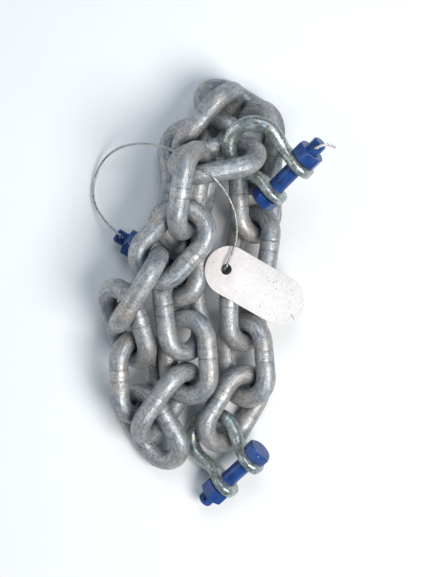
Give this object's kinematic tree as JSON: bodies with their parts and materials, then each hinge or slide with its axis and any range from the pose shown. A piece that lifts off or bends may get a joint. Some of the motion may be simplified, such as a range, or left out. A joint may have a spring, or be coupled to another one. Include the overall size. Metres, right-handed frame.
{
  "type": "heap of steel chain",
  "caption": "Heap of galvanised short-link steel chain lying in one joined length, with bow shackles on blue safety bolts and a blank hang tag on a thin wire rope.",
  "frame": {"origin": "centre of the heap's footprint on the floor, measured without the tag and its wire", "axes": "+Z up, +Y along the heap's long direction towards the top shackle, +X to the right when the heap is seen from above with +Y up"},
  "size_m": [0.1975, 0.3556, 0.105],
  "materials": {
    "galvanised": "hot-dip galvanised, dull, weathered, with fine dark pitting and bright worn edges",
    "galvanised_forged": "worn galvanised forging, semi-gloss, mottled with a greenish grey tint",
    "blue_paint": "semi-gloss blue paint, chipped on edges and threads",
    "tag_plastic": "pinkish white, scuffed and slightly dirty",
    "wire_steel": "bright stranded steel wire"
  },
  "bodies": {
    "root": {"chain_link_01": "galvanised", "chain_link_02": "galvanised", "chain_link_03": "galvanised", "chain_link_04": "galvanised", "chain_link_05": "galvanised", "chain_link_06": "galvanised", "chain_link_07": "galvanised", "chain_link_08": "galvanised", "chain_link_09": "galvanised", "chain_link_10": "galvanised", "chain_link_11": "galvanised", "chain_link_12": "galvanised", "chain_link_13": "galvanised", "chain_link_14": "galvanised", "chain_link_15": "galvanised", "chain_link_16": "galvanised", "chain_link_17": "galvanised", "chain_link_18": "galvanised", "chain_link_19": "galvanised", "chain_link_20": "galvanised", "chain_link_21": "galvanised", "shackle_top_body": "galvanised_forged", "shackle_top_bolt": "blue_paint", "shackle_top_nut": "blue_paint", "shackle_bottom_body": "galvanised_forged", "shackle_bottom_bolt": "blue_paint", "shackle_bottom_nut": "blue_paint", "shackle_left_body": "galvanised_forged", "shackle_left_bolt": "blue_paint", "shackle_left_nut": "blue_paint", "shackle_top_pin_wire": "wire_steel", "tag": "tag_plastic", "tag_wire": "wire_steel"}
  },
  "joints": []
}
